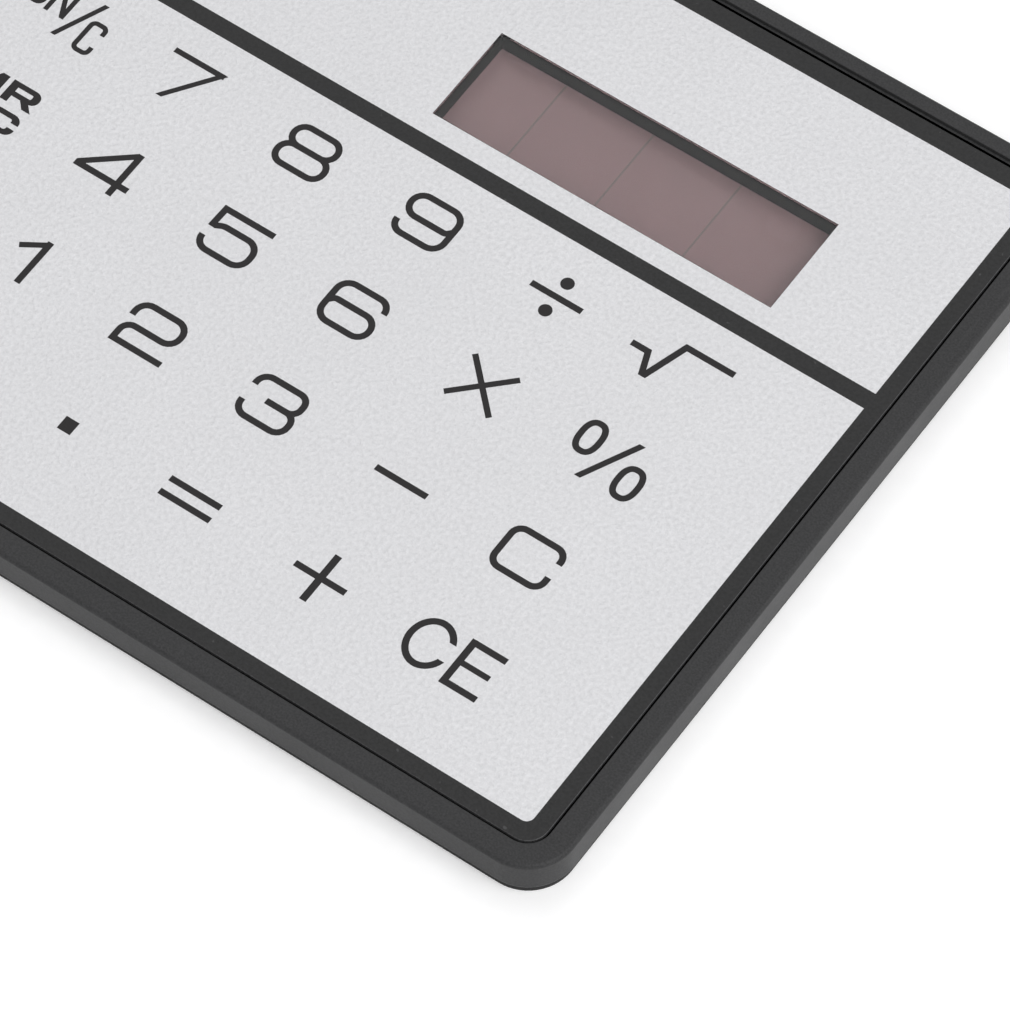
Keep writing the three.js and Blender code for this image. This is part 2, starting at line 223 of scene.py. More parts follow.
def join_rings(mesh, lower, upper, material=0):
    """A band of faces between two rings, facing away from the rings' middle when upper is above."""
    for index, corner in enumerate(lower):
        following = (index + 1) % len(lower)
        face = mesh.faces.new((corner, lower[following], upper[following], upper[index]))
        face.material_index = material


def loft(mesh, sections, material=0):
    """Bands of faces through (outline, height) sections. Returns the rings."""
    rings = [add_ring(mesh, outline, z) for outline, z in sections]
    for lower, upper in zip(rings, rings[1:]):
        join_rings(mesh, lower, upper, material)
    return rings


def fill(mesh, rings, material=0):
    """A flat face inside the first ring with the other rings as holes."""
    edges = []
    for ring in rings:
        for start, end in zip(ring, ring[1:] + ring[:1]):
            edges.append(mesh.edges.get((start, end)) or mesh.edges.new((start, end)))
    made = bmesh.ops.triangle_fill(mesh, use_beauty=True, use_dissolve=False, edges=edges)
    for item in made["geom"]:
        if isinstance(item, bmesh.types.BMFace):
            item.material_index = material


def add_slab(mesh, outline, holes, bottom, top, material=0):
    """A closed plate with upright sides and holes."""
    lower = [add_ring(mesh, loop, bottom) for loop in [outline, *holes]]
    upper = [add_ring(mesh, loop, top) for loop in [outline, *holes]]
    for low, high in zip(lower, upper):
        join_rings(mesh, low, high, material)
    fill(mesh, lower, material)
    fill(mesh, upper, material)


def make_piece(mesh, name, materials, body):
    """Turns a mesh in millimetres into a piece in metres. It rides on body, or on none yet for None."""
    bmesh.ops.recalc_face_normals(mesh, faces=mesh.faces)
    for face in mesh.faces:
        face.smooth = True
    data = bpy.data.meshes.new(name)
    mesh.to_mesh(data)
    mesh.free()
    data.transform(Matrix.Scale(MM, 4))
    data.set_sharp_from_angle(angle=SHARP_ANGLE)
    for material in materials:
        data.materials.append(material)
    piece = bpy.data.objects.new(name, data)
    bpy.context.scene.collection.objects.link(piece)
    weigh = piece.modifiers.new("even_shading", "WEIGHTED_NORMAL")
    weigh.keep_sharp = True
    if body:
        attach(piece, body)
    return piece


# ---------- Material tools ----------
def new_material(name, colour, roughness, **shader_values):
    """A material and its shader. shader_values are more of the shader's sockets, by name."""
    material = bpy.data.materials.new(name)
    material.use_nodes = True
    shader = material.node_tree.nodes["Principled BSDF"]
    shader.inputs["Base Color"].default_value = (*colour, 1)
    shader.inputs["Roughness"].default_value = roughness
    for socket, value in shader_values.items():
        shader.inputs[socket].default_value = value
    return material, shader


def noise(tree, grain, detail=2.0, stretch=(1, 1, 1)):
    """Noise whose spots are about grain millimetres across, fixed in the CAD frame."""
    place = tree.nodes.new("ShaderNodeTexCoord")
    scale = tree.nodes.new("ShaderNodeMapping")
    scale.inputs["Scale"].default_value = stretch
    texture = tree.nodes.new("ShaderNodeTexNoise")
    texture.inputs["Scale"].default_value = 1 / (grain * MM)
    texture.inputs["Detail"].default_value = detail
    tree.links.new(place.outputs["Object"], scale.inputs["Vector"])
    tree.links.new(scale.outputs["Vector"], texture.inputs["Vector"])
    return texture.outputs["Fac"]


def remap(tree, value, from_low, from_high, to_low, to_high):
    """value moved from one range to another, and held inside it."""
    node = tree.nodes.new("ShaderNodeMapRange")
    for socket, number in zip(node.inputs[1:5], (from_low, from_high, to_low, to_high)):
        socket.default_value = number
    tree.links.new(value, node.inputs[0])
    return node.outputs[0]


def mix_colours(tree, amount, first, second):
    """A colour between two, each a colour or another node's output."""
    node = tree.nodes.new("ShaderNodeMix")
    node.data_type = "RGBA"
    tree.links.new(amount, node.inputs["Factor"])
    for socket, colour in ((node.inputs[6], first), (node.inputs[7], second)):
        if isinstance(colour, bpy.types.NodeSocket):
            tree.links.new(colour, socket)
        else:
            socket.default_value = (*colour, 1)
    return node.outputs[2]


def add_bump(tree, shader, height, depth):
    """Relief of depth millimetres from a height output."""
    node = tree.nodes.new("ShaderNodeBump")
    node.inputs["Strength"].default_value = 1
    node.inputs["Distance"].default_value = depth * MM
    tree.links.new(height, node.inputs["Height"])
    tree.links.new(node.outputs["Normal"], shader.inputs["Normal"])


def grained(name, dark, light, grain, relief, roughness, **shader_values):
    """A material whose colour and relief vary over grain millimetres, and its roughness over more."""
    spread = 0.06
    material, shader = new_material(name, light, roughness, **shader_values)
    tree = material.node_tree
    fine = noise(tree, grain)
    patchy = noise(tree, grain * 40, detail=3)
    tint = remap(tree, fine, 0.32, 0.68, 0, 1)
    tree.links.new(mix_colours(tree, tint, dark, light), shader.inputs["Base Color"])
    gloss = remap(tree, patchy, 0.3, 0.7, roughness - spread, roughness + spread)
    tree.links.new(gloss, shader.inputs["Roughness"])
    add_bump(tree, shader, fine, relief)
    return material


# ---------- Materials ----------
def grey(level):
    return (level, level, level * 1.02)


def silver_print():
    """Silver paint behind a film with a fine orange-peel surface."""
    material, shader = new_material("silver_print", grey(0.68), 0.42, Metallic=0.25)
    tree = material.node_tree
    fine = noise(tree, 0.26, detail=2)
    flakes = noise(tree, 0.07, detail=1)
    cloudy = noise(tree, 9, detail=3)
    tone = mix_colours(tree, remap(tree, fine, 0.3, 0.7, 0, 1), grey(0.655), grey(0.785))
    sparkle = mix_colours(tree, remap(tree, flakes, 0.62, 0.75, 0, 0.5), tone, grey(0.9))
    shade = mix_colours(tree, remap(tree, cloudy, 0.3, 0.75, 0, 0.16), sparkle, grey(0.6))
    tree.links.new(shade, shader.inputs["Base Color"])
    tree.links.new(remap(tree, fine, 0.3, 0.7, 0.36, 0.5), shader.inputs["Roughness"])
    add_bump(tree, shader, fine, 0.05)
    return material


def black_print():
    """The black border of the film, with the film's own grain and a few specks of dust."""
    material, shader = new_material("black_print", grey(0.02), 0.45)
    tree = material.node_tree
    fine = noise(tree, 0.2, detail=2)
    dust = noise(tree, 0.3, detail=0)
    tone = mix_colours(tree, remap(tree, fine, 0.35, 0.65, 0, 1), grey(0.0005), grey(0.013))
    specks = mix_colours(tree, remap(tree, dust, 0.84, 0.9, 0, 0.3), tone, grey(0.12))
    tree.links.new(specks, shader.inputs["Base Color"])
    tree.links.new(remap(tree, fine, 0.3, 0.7, 0.34, 0.5), shader.inputs["Roughness"])
    add_bump(tree, shader, fine, 0.03)
    return material


def key_ink():
    """Screen-printed black, a little uneven."""
    material, shader = new_material("key_ink", grey(0.02), 0.5)
    tree = material.node_tree
    fine = noise(tree, 0.12)
    uneven = remap(tree, fine, 0.3, 0.7, 0, 1)
    tone = mix_colours(tree, uneven, (0.002, 0.001, 0.0015), (0.008, 0.006, 0.007))
    tree.links.new(tone, shader.inputs["Base Color"])
    tree.links.new(remap(tree, fine, 0.3, 0.7, 0.42, 0.58), shader.inputs["Roughness"])
    add_bump(tree, shader, fine, 0.006)
    return material


def black_plastic(name, level, grain, relief, roughness, gloss_level):
    """Moulded black plastic with spark-eroded grain, faint scuffs and slightly polished patches."""
    material, shader = new_material(name, grey(level), roughness)
    shader.inputs["Specular IOR Level"].default_value = gloss_level
    tree = material.node_tree
    fine = noise(tree, grain)
    scuffs = noise(tree, 0.5, detail=4, stretch=(1, 0.12, 1))
    patches = noise(tree, 7, detail=3)
    tone = mix_colours(tree, remap(tree, fine, 0.3, 0.7, 0, 1), grey(level * 0.85), grey(level * 1.2))
    scuffed = mix_colours(tree, remap(tree, scuffs, 0.66, 0.8, 0, 0.3), tone, grey(level * 2.2))
    tree.links.new(scuffed, shader.inputs["Base Color"])
    gloss = remap(tree, patches, 0.3, 0.7, roughness - 0.05, roughness + 0.05)
    tree.links.new(gloss, shader.inputs["Roughness"])
    add_bump(tree, shader, fine, relief)
    return material


def clear_plastic():
    """The windows' clear plastic, with a few slightly dull marks."""
    material, shader = new_material("clear_plastic", (0.97, 0.98, 0.98), 0.03, IOR=1.35)
    shader.inputs["Transmission Weight"].default_value = 1
    tree = material.node_tree
    marks = noise(tree, 1.6, detail=4)
    tree.links.new(remap(tree, marks, 0.4, 0.8, 0.0, 0.012), shader.inputs["Roughness"])
    return material


def silicon():
    """The cell's brown silicon under glass."""
    material, shader = new_material("silicon", (0.34, 0.24, 0.25), 0.25, IOR=1.3)
    tree = material.node_tree
    fine = noise(tree, 0.3, detail=3)
    broad = noise(tree, 6, detail=2)
    mottle = remap(tree, fine, 0.3, 0.7, 0, 1)
    tone = mix_colours(tree, mottle, (0.300, 0.194, 0.200), (0.318, 0.206, 0.212))
    wide = mix_colours(tree, remap(tree, broad, 0.3, 0.7, 0, 0.25), tone, (0.335, 0.21, 0.212))
    tree.links.new(wide, shader.inputs["Base Color"])
    tree.links.new(remap(tree, broad, 0.3, 0.7, 0.2, 0.3), shader.inputs["Roughness"])
    return material


def copper_board():
    """Green solder mask over copper tracks, brighter where a track runs under it."""
    material, shader = new_material("copper_board", (0.02, 0.12, 0.05), 0.35)
    tree = material.node_tree
    place = tree.nodes.new("ShaderNodeTexCoord")
    tracks = tree.nodes.new("ShaderNodeTexBrick")
    tracks.inputs["Scale"].default_value = 1 / (4 * MM)
    tracks.inputs["Mortar Size"].default_value = 0.05
    tracks.inputs["Color1"].default_value = (0.012, 0.10, 0.035, 1)
    tracks.inputs["Color2"].default_value = (0.016, 0.115, 0.04, 1)
    tracks.inputs["Mortar"].default_value = (0.06, 0.24, 0.09, 1)
    tree.links.new(place.outputs["Object"], tracks.inputs["Vector"])
    tree.links.new(tracks.outputs["Color"], shader.inputs["Base Color"])
    add_bump(tree, shader, tracks.outputs["Fac"], 0.03)
    return material


def zebra_rubber():
    """Thin layers of conducting and plain rubber in turn."""
    material, shader = new_material("zebra_rubber", (0.3, 0.3, 0.3), 0.6)
    tree = material.node_tree
    place = tree.nodes.new("ShaderNodeTexCoord")
    layers = tree.nodes.new("ShaderNodeTexWave")
    layers.inputs["Scale"].default_value = 1 / (1.2 * MM)
    layers.inputs["Distortion"].default_value = 0.4
    tree.links.new(place.outputs["Object"], layers.inputs["Vector"])
    tone = mix_colours(tree, layers.outputs["Fac"], (0.02, 0.02, 0.02), (0.55, 0.5, 0.42))
    tree.links.new(tone, shader.inputs["Base Color"])
    return material


SILVER = silver_print()
BORDER = black_print()
FILM_EDGE = grained("film_edge", (0.05, 0.05, 0.052), (0.09, 0.09, 0.092), 0.1, 0.01, 0.5)
INK = key_ink()
CASE_PLASTIC = black_plastic("case_plastic", 0.045, 0.12, 0.006, 0.34, 0.10)
# The back cover's plastic has a darker colour than the case's, as painted shade for the dark line along the
# bottom edge, in the shadow under the case's overhang.
COVER_PLASTIC_SHADED = black_plastic("cover_plastic", 0.012, 0.22, 0.02, 0.5, 0.15)
# The walls of the window openings and the plates round them: the case's black plastic, matt, with its
# colour darkened much further as painted shade inside the window recesses.
MATT_SHADED_PLASTIC = grained("matt_shaded_plastic", (0.002, 0.002, 0.002), (0.004, 0.004, 0.004), 0.12, 0.01, 0.8)
MATT_SHADED_PLASTIC.node_tree.nodes["Principled BSDF"].inputs["Specular IOR Level"].default_value = 0.15
CLEAR = clear_plastic()
SILICON = silicon()
CELL_LINES = grained("cell_lines", (0.18, 0.135, 0.13), (0.195, 0.145, 0.14), 0.1, 0.002, 0.35)
CELL_GLASS = grained("cell_glass", (0.02, 0.02, 0.02), (0.03, 0.03, 0.03), 0.4, 0.002, 0.3)
LCD_GREY = grained("lcd_grey", (0.30, 0.34, 0.28), (0.33, 0.37, 0.30), 0.12, 0.002, 0.3)
LCD_GHOST = grained("lcd_ghost", (0.27, 0.30, 0.25), (0.29, 0.33, 0.27), 0.12, 0.002, 0.3)
LCD_DARK = grained("lcd_dark", (0.010, 0.012, 0.014), (0.016, 0.018, 0.02), 0.12, 0.002, 0.3)

SOOT = (0.01, 0.01, 0.01)
CHARCOAL = (0.02, 0.02, 0.02)
RED = ((0.45, 0.02, 0.015), (0.55, 0.03, 0.02))
PALE_FILM = ((0.62, 0.63, 0.6), (0.72, 0.73, 0.7))

# The finish of each CAD node that is shown as it is, by the record's slot.
NODE_FINISHES = {
    "key_rubber": grained("key_rubber", (0.09, 0.09, 0.10), (0.13, 0.13, 0.14), 0.15, 0.01, 0.65),
    "polyester_sheet": grained("polyester_sheet", *PALE_FILM, 0.3, 0.002, 0.35),
    "circuit_board": copper_board(),
    "black_epoxy": grained("black_epoxy", SOOT, CHARCOAL, 0.3, 0.02, 0.25),
    "ceramic": grained("ceramic", (0.45, 0.30, 0.18), (0.52, 0.36, 0.22), 0.08, 0.004, 0.4),
    "foam": grained("foam", (0.10, 0.10, 0.10), (0.2, 0.2, 0.2), 0.25, 0.08, 0.9),
    "red_insulation": grained("red_insulation", *RED, 0.2, 0.004, 0.4),
    "black_insulation": grained("black_insulation", SOOT, CHARCOAL, 0.2, 0.004, 0.4),
    "display_glass": grained("display_glass", (0.55, 0.58, 0.55), (0.6, 0.63, 0.6), 1.0, 0.001, 0.1),
    "polarizer": LCD_GREY,
    "reflector": grained(
        "reflector", (0.6, 0.6, 0.58), (0.7, 0.7, 0.68), 0.1, 0.004, 0.35, Metallic=0.8
    ),
    "zebra_rubber": zebra_rubber(),
}


def finish_cad_nodes():
    """Gives each CAD node the finish of its material slot. A node's material has its slot's name."""
    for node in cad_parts.values():
        finish = NODE_FINISHES.get(node.data.materials[0].name)
        if finish:
            node.data.materials[0] = finish


# ---------- Case ----------
def key_plate_holes():
    """The plate's holes, one round each key's pad."""
    holes = []
    for box in KEYS.values():
        middle = centre_of(box)
        size = half_size(box)
        reach = KEY_CLEARANCE
        holes.append(
            rectangle(size.x + reach, size.y + reach, PAD_CORNER, (middle.x, middle.y), steps=4)
        )
    return holes


def front_frame():
    """The case's front half: walls, raised rim, recess for the film, key plate and window openings."""
    mesh = bmesh.new()
    plastic, matt_shaded = 0, 1
    arc_steps = 6
    rim_steps = 3
    slope_width = 0.5                   # the inside of the walls, where they widen under the film
    slope_height = 0.4
    skirt_gap = 0.02
    turns = [math.pi / 2 * step / arc_steps for step in range(arc_steps + 1)]
    sections = []
    for angle in turns:
        inset = EDGE_ROUNDING * (1 - math.sin(angle))
        sections.append((case_outline(inset), SEAM + EDGE_ROUNDING * (1 - math.cos(angle))))
    for angle in turns:
        inset = EDGE_ROUNDING * (1 - math.cos(angle))
        sections.append((case_outline(inset), CASE_TOP - EDGE_ROUNDING * (1 - math.sin(angle))))
    for step in range(rim_steps + 1):
        angle = math.pi / 2 * step / rim_steps
        grow = RIM_INNER_ROUNDING * (1 - math.sin(angle))
        height = CASE_TOP - RIM_INNER_ROUNDING * (1 - math.cos(angle))
        sections.append((recess_outline(grow), height))
    sections.append((recess_outline(0), FILM_BOTTOM))
    sections.append((case_outline(WALL + slope_width), FILM_BOTTOM))
    sections.append((case_outline(WALL), FILM_BOTTOM - slope_height))
    sections.append((case_outline(WALL), SEAM))
    rings = loft(mesh, sections, plastic)
    join_rings(mesh, rings[-1], rings[0], plastic)

    inner_x = HALF_WIDTH - WALL
    inner_y = HALF_DEPTH - WALL
    corner = CORNER - WALL
    plate_y = UPPER_PLATE_Y
    key_plate = rounded_loop(
        [(-inner_x, -inner_y), (inner_x, -inner_y), (inner_x, plate_y), (-inner_x, plate_y)],
        [corner, corner, 0, 0],
    )
    add_slab(mesh, key_plate, key_plate_holes(), KEY_PLATE_BOTTOM, FILM_BOTTOM, plastic)

    upper_plate = rounded_loop(
        [(-inner_x, plate_y), (inner_x, plate_y), (inner_x, inner_y), (-inner_x, inner_y)],
        [0, 0, corner, corner],
    )
    solar_hole = hole_round(SOLAR_PANE, PANE_GAP)
    lcd_hole = hole_round(LCD_PANE, PANE_GAP)
    pocket = hole_round(node_box("lcd_front_glass"), LCD_POCKET_GAP)
    # The plates round the windows take the darkened plastic: painted shade on the walls of the window
    # recesses.
    add_slab(mesh, upper_plate, [solar_hole, pocket], UPPER_PLATE_BOTTOM, LCD_POCKET_TOP, matt_shaded)
    add_slab(mesh, upper_plate, [solar_hole, lcd_hole], LCD_POCKET_TOP, FILM_BOTTOM, matt_shaded)

    skirt = hole_round(SOLAR_PANE, WINDOW_SKIRT)
    add_slab(mesh, skirt, [solar_hole], SOLAR_CELL[1].z + skirt_gap, UPPER_PLATE_BOTTOM, matt_shaded)
    materials = [CASE_PLASTIC, MATT_SHADED_PLASTIC]
    piece = make_piece(mesh, "front_frame_shell", materials, "case")
    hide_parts("front_frame")


def back_cover():
    """The case's back: a thin plate with a shallow panel, and the tongue that fits inside the walls."""
    mesh = bmesh.new()
    inset = HALF_WIDTH - COVER[1].x
    rounding = 0.05
    arc_steps = 4
    sections = []
    for step in range(arc_steps + 1):
        angle = math.pi / 2 * step / arc_steps
        outline = case_outline(inset + rounding * (1 - math.sin(angle)))
        sections.append((outline, rounding * (1 - math.cos(angle))))
    sections.append((case_outline(inset), SEAM))
    rings = loft(mesh, sections)

    half_x, half_y, corner = 31, 16, 2.0
    depth = 0.1
    slope = 0.12
    panel = [
        (rectangle(half_x, half_y, corner), 0.0),
        (rectangle(half_x - slope, half_y - slope, corner - slope), depth),
    ]
    panel_rings = loft(mesh, panel)
    fill(mesh, [rings[0], panel_rings[0]])
    fill(mesh, [panel_rings[1]])
    fill(mesh, [rings[-1]])

    tongue_gap = 0.1
    tongue_thickness = 0.6
    tongue_top = 0.9
    outer = case_outline(WALL + tongue_gap)
    inner = case_outline(WALL + tongue_gap + tongue_thickness)
    add_slab(mesh, outer, [inner], SEAM, tongue_top)
    piece = make_piece(mesh, "back_cover_shell", [COVER_PLASTIC_SHADED], "case")
    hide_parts("back_cover")


# ---------- Film ----------
def patch_half_size(box):
    """Half the size of the square of film that bends over a key."""
    size = half_size(box)
    reach = KEY_CLEARANCE + PATCH_MARGIN
    return size.x + reach, size.y + reach


def face_film():
    """The printed film: a silver panel round the keys, another round the windows, and a black border."""
    mesh = bmesh.new()
    silver, border, cut_edge = 0, 1, 2
    middle = centre_of(FILM)
    size = half_size(FILM)
    edge = rectangle(size.x, size.y, FILM_CORNER, (middle.x, middle.y))
    chamfer = FILM_CHAMFER
    top_corner = FILM_CORNER - chamfer
    top_edge = rectangle(size.x - chamfer, size.y - chamfer, top_corner, (middle.x, middle.y))
    sections = [(edge, FILM_BOTTOM), (edge, FILM_TOP - chamfer), (top_edge, FILM_TOP)]
    side = loft(mesh, sections, cut_edge)
    x, y = PANEL_HALF_WIDTH, PANEL_HALF_DEPTH
    corner = PANEL_CORNER
    lower_panel = rounded_loop(
        [(-x, -y), (x, -y), (x, DIVIDER_BOTTOM), (-x, DIVIDER_BOTTOM)], [corner, corner, 0, 0]
    )
    upper_panel = rounded_loop(
        [(-x, DIVIDER_TOP), (x, DIVIDER_TOP), (x, y), (-x, y)], [0, 0, corner, corner]
    )
    lower_ring = add_ring(mesh, lower_panel, FILM_TOP)
    upper_ring = add_ring(mesh, upper_panel, FILM_TOP)

    bottom_holes = []
    key_holes = []
    for box in KEYS.values():
        middle = centre_of(box)
        outline = rectangle(*patch_half_size(box), 0, (middle.x, middle.y))
        low, high = loft(mesh, [(outline, FILM_BOTTOM), (outline, FILM_TOP)], silver)
        bottom_holes.append(low)
        key_holes.append(high)
    window_holes = []
    for box in (SOLAR_PANE, LCD_PANE):
        outline = hole_round(box, PANE_GAP)
        low, high = loft(mesh, [(outline, FILM_BOTTOM), (outline, FILM_TOP)], border)
        bottom_holes.append(low)
        window_holes.append(high)

    fill(mesh, [side[-1], lower_ring, upper_ring], border)
    fill(mesh, [lower_ring, *key_holes], silver)
    fill(mesh, [upper_ring, *window_holes], silver)
    fill(mesh, [side[0], *bottom_holes], border)
    piece = make_piece(mesh, "face_film_sheet", [SILVER, BORDER, FILM_EDGE], "case")
    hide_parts("face_film")


def window_panes():
    """Clear panes with a fine chamfer round their upper edges."""
    for name, box in (("solar_window", SOLAR_PANE), ("lcd_window", LCD_PANE)):
        mesh = bmesh.new()
        rings = loft(
            mesh,
            [
                (hole_round(box, 0), box[0].z),
                (hole_round(box, 0), box[1].z - PANE_CHAMFER),
                (hole_round(box, -PANE_CHAMFER), box[1].z),
            ],
        )
        fill(mesh, [rings[0]])
        fill(mesh, [rings[-1]])
        piece = make_piece(mesh, name + "_pane", [CLEAR], "case")
        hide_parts(name)


# ---------- Key legends ----------
PEN = 0.40                          # width of the digits' strokes
THIN_PEN = 0.36
DIGIT_X = 1.60                      # from a digit's middle to the middle of its outer strokes
DIGIT_Y = 1.45
BAR = 1.73
DOT = 0.41
LETTER_PEN = (0.50, 0.34)           # the small bold letters: width of upright and of level strokes
LETTER_HEIGHT = 1.15                # to the middle of the strokes
LETTER_WIDTH = 1.62
LETTER_SPACE = 0.82


def line(points, corners=0.0, pen=PEN, closed=False, level_ends=False):
    """A stroke through points. pen is its width, or a pair: where it runs upright, where it runs level."""
    radii = corners if isinstance(corners, (list, tuple)) else [corners] * len(points)
    return {
        "path": bend_path(points, radii, 6, closed),
        "pen": pen if isinstance(pen, tuple) else (pen, pen),
        "closed": closed,
        "level_ends": level_ends,
    }


def shape(points):
    """A filled shape that bulges outwards everywhere."""
    return {"shape": points}


def dot(x, y, radius=DOT, sides=28):
    turns = [2 * math.pi * side / sides for side in range(sides)]
    return shape([(x + radius * math.cos(a), y + radius * math.sin(a)) for a in turns])


def oval(x, y, half_x, half_y):
    """A closed stroke round a slightly squared oval."""
    squareness = 2.5
    sides = 40
    points = []
    for side in range(sides):
        angle = 2 * math.pi * side / sides
        across = math.copysign(abs(math.cos(angle)) ** (2 / squareness), math.cos(angle))
        along = math.copysign(abs(math.sin(angle)) ** (2 / squareness), math.sin(angle))
        points.append((x + half_x * across, y + half_y * along))
    return line(points, pen=0.38, closed=True)


def arc(x, y, half_x, half_y, start, end):
    """A stroke along part of an ellipse, from start to end degrees."""
    sides = 40
    angles = [math.radians(start + (end - start) * side / sides) for side in range(sides + 1)]
    points = [(x + half_x * math.cos(a), y + half_y * math.sin(a)) for a in angles]
    return line(points, level_ends=True)


def turned(points):
    """The points turned half way round."""
    return [(-x, -y) for x, y in points]


def digits():
    """The strokes of 0 to 9, in millimetres from the middle of the digit."""
    x, y = DIGIT_X, DIGIT_Y
    bowl = [(x, 0.70), (x, y), (-x, y), (-x, -y), (x, -y), (x, 0.10), (0, 0.10)]
    bowl_corners = [0, 0.70, 0.80, 0.80, 0.75, 0.75, 0]
    cross = [(0, 0.10), (-1.28, 0.10), (-x, -0.25)]
    cross_corners = [0, 0.40, 0]
    return {
        "0": [line([(-x, -y), (x, -y), (x, y), (-x, y)], 0.85, closed=True)],
        "1": [line([(0.45, 1.62), (0.45, -1.62)]), line([(0.52, 1.46), (-0.98, 0.50)], pen=THIN_PEN)],
        "2": [
            line(
                [(-x, 0.38), (-x, y), (x, y), (x, -0.18), (-x, -0.18), (-x, -y), (1.74, -y)],
                [0, 0.75, 0.75, 0.75, 0.80, 0, 0],
            )
        ],
        "3": [
            line([(-x, 0.58), (-x, y), (1.56, y), (1.56, 0.03), (-0.42, 0.03)], [0, 0.7, 0.6, 0.6, 0]),
            line([(0.70, 0.03), (x, 0.03), (x, -y), (-x, -y), (-x, -0.57)], [0, 0.60, 0.70, 0.75, 0]),
        ],
        "4": [
            line([(1.07, 1.65), (1.07, -1.62)]),
            line([(-1.86, -0.79), (1.86, -0.79)]),
            line([(-1.72, -0.72), (1.02, 1.52)], pen=0.38),
        ],
        "5": [
            line([(1.86, y), (-1.50, y), (-1.54, 0.02)]),
            line(
                [(-1.40, 0.16), (-0.90, 0.42), (x, 0.42), (x, -y), (-x, -y), (-x, -0.67)],
                [0, 0.90, 0.80, 0.80, 0.75, 0],
            ),
        ],
        "6": [line(bowl, bowl_corners), line(cross, cross_corners)],
        "7": [
            line([(-1.80, y), (1.72, y)], pen=THIN_PEN),
            line([(1.66, 1.62), (-0.70, -1.65)], pen=0.32, level_ends=True),
        ],
        "8": [
            line([(-1.48, 0.03), (1.48, 0.03), (1.48, y), (-1.48, y)], 0.70, closed=True),
            line([(-x, -y), (x, -y), (x, 0.03), (-x, 0.03)], 0.70, closed=True),
        ],
        "9": [line(turned(bowl), bowl_corners), line(turned(cross), cross_corners)],
    }


def signs():
    """The strokes of the arithmetic keys, C and CE."""
    bar = [(-BAR, 0), (BAR, 0)]
    return {
        "divide": [line(bar), dot(0, 1.08), dot(0, -1.08)],
        "multiply": [
            line([(-1.53, 1.5), (1.53, -1.5)], pen=THIN_PEN),
            line([(-1.53, -1.5), (1.53, 1.5)], pen=THIN_PEN),
        ],
        "minus": [line(bar)],
        "plus": [line([(-BAR, 0), (1.68, 0)]), line([(0, -1.7), (0, 1.7)], pen=0.44)],
        "equals": [line([(-1.76, 0.5), (1.70, 0.5)]), line([(-1.76, -0.5), (1.70, -0.5)])],
        "point": [line([(-0.52, 0), (0.37, 0)], pen=0.93)],
        "root": [
            line([(-3.42, -0.06), (-2.26, -0.06)]),
            line([(-2.38, 0.14), (-1.72, -1.62)], pen=0.38, level_ends=True),
            line([(-1.66, -1.62), (-0.62, 1.56)], level_ends=True),
            line([(-0.80, 1.37), (2.53, 1.37)]),
        ],
        "percent": [
            line([(-0.88, -1.83), (0.99, 1.84)], pen=THIN_PEN, level_ends=True),
            oval(-1.70, 0.66, 0.62, 1.03),
            oval(1.71, -0.65, 0.64, 1.02),
        ],
        "c": [
            line(
                [(1.60, 0.55), (1.60, 1.41), (-1.71, 1.41), (-1.71, -1.42), (1.60, -1.42), (1.60, -0.43)],
                0.65,
            )
        ],
        "ce": [
            arc(-1.30, 0.02, 1.24, 1.47, 27, 339),
            line([(0.68, -1.64), (0.68, 1.64)], pen=0.42),
            line([(0.68, 1.45), (2.84, 1.45)]),
            line([(0.68, 0.04), (2.68, 0.04)], pen=THIN_PEN),
            line([(0.68, -1.43), (2.84, -1.43)]),
        ],
    }


# Letters on a box one unit wide and high, as strokes: points, corner and how the ends are cut.
SQUARE, LEVEL, LOOP = "square", "level", "loop"
ROUND_SHAPE = [([(0, 0), (1, 0), (1, 1), (0, 1)], 0.4, LOOP)]
LETTER_SHAPES = {
    "0": ROUND_SHAPE,
    "A": [
        ([(0, -0.1), (0.5, 1.1)], 0, LEVEL),
        ([(1, -0.1), (0.5, 1.1)], 0, LEVEL),
        ([(0.35, 0.25), (0.65, 0.25)], 0, SQUARE),
    ],
    "C": [([(1, 0.8), (1, 1), (0, 1), (0, 0), (1, 0), (1, 0.2)], 0.3, SQUARE)],
    "E": [([(1, 1), (0, 1), (0, 0), (1, 0)], 0, SQUARE), ([(0, 0.5), (0.9, 0.5)], 0, SQUARE)],
    "G": [([(1, 0.75), (1, 1), (0, 1), (0, 0), (1, 0), (1, 0.45), (0.55, 0.45)], 0.25, SQUARE)],
    "M": [
        ([(0, 0), (0, 1)], 0, SQUARE),
        ([(1, 0), (1, 1)], 0, SQUARE),
        ([(0, 1.1), (0.5, 0.1)], 0, LEVEL),
        ([(1, 1.1), (0.5, 0.1)], 0, LEVEL),
    ],
    "N": [
        ([(0, 0), (0, 1)], 0, SQUARE),
        ([(1, 0), (1, 1)], 0, SQUARE),
        ([(0, 1.05), (1, -0.05)], 0, LEVEL),
    ],
    "O": ROUND_SHAPE,
    "R": [
        ([(0, 0), (0, 1)], 0, SQUARE),
        ([(0, 1), (1, 1), (1, 0.42), (0, 0.42)], 0.25, SQUARE),
        ([(0.62, 0.42), (1, -0.14)], 0, LEVEL),
    ],
    "T": [([(0, 1), (1, 1)], 0, SQUARE), ([(0.5, 1), (0.5, 0)], 0, SQUARE)],
    "U": [([(0, 1), (0, 0), (1, 0), (1, 1)], 0.4, SQUARE)],
    "X": [([(0, -0.14), (1, 1.14)], 0, LEVEL), ([(0, 1.14), (1, -0.14)], 0, LEVEL)],
    "-": [([(0, 0.5), (1, 0.5)], 0, SQUARE)],
    "+": [([(0, 0.5), (1, 0.5)], 0, SQUARE), ([(0.5, -0.05), (0.5, 1.05)], 0, SQUARE)],
}


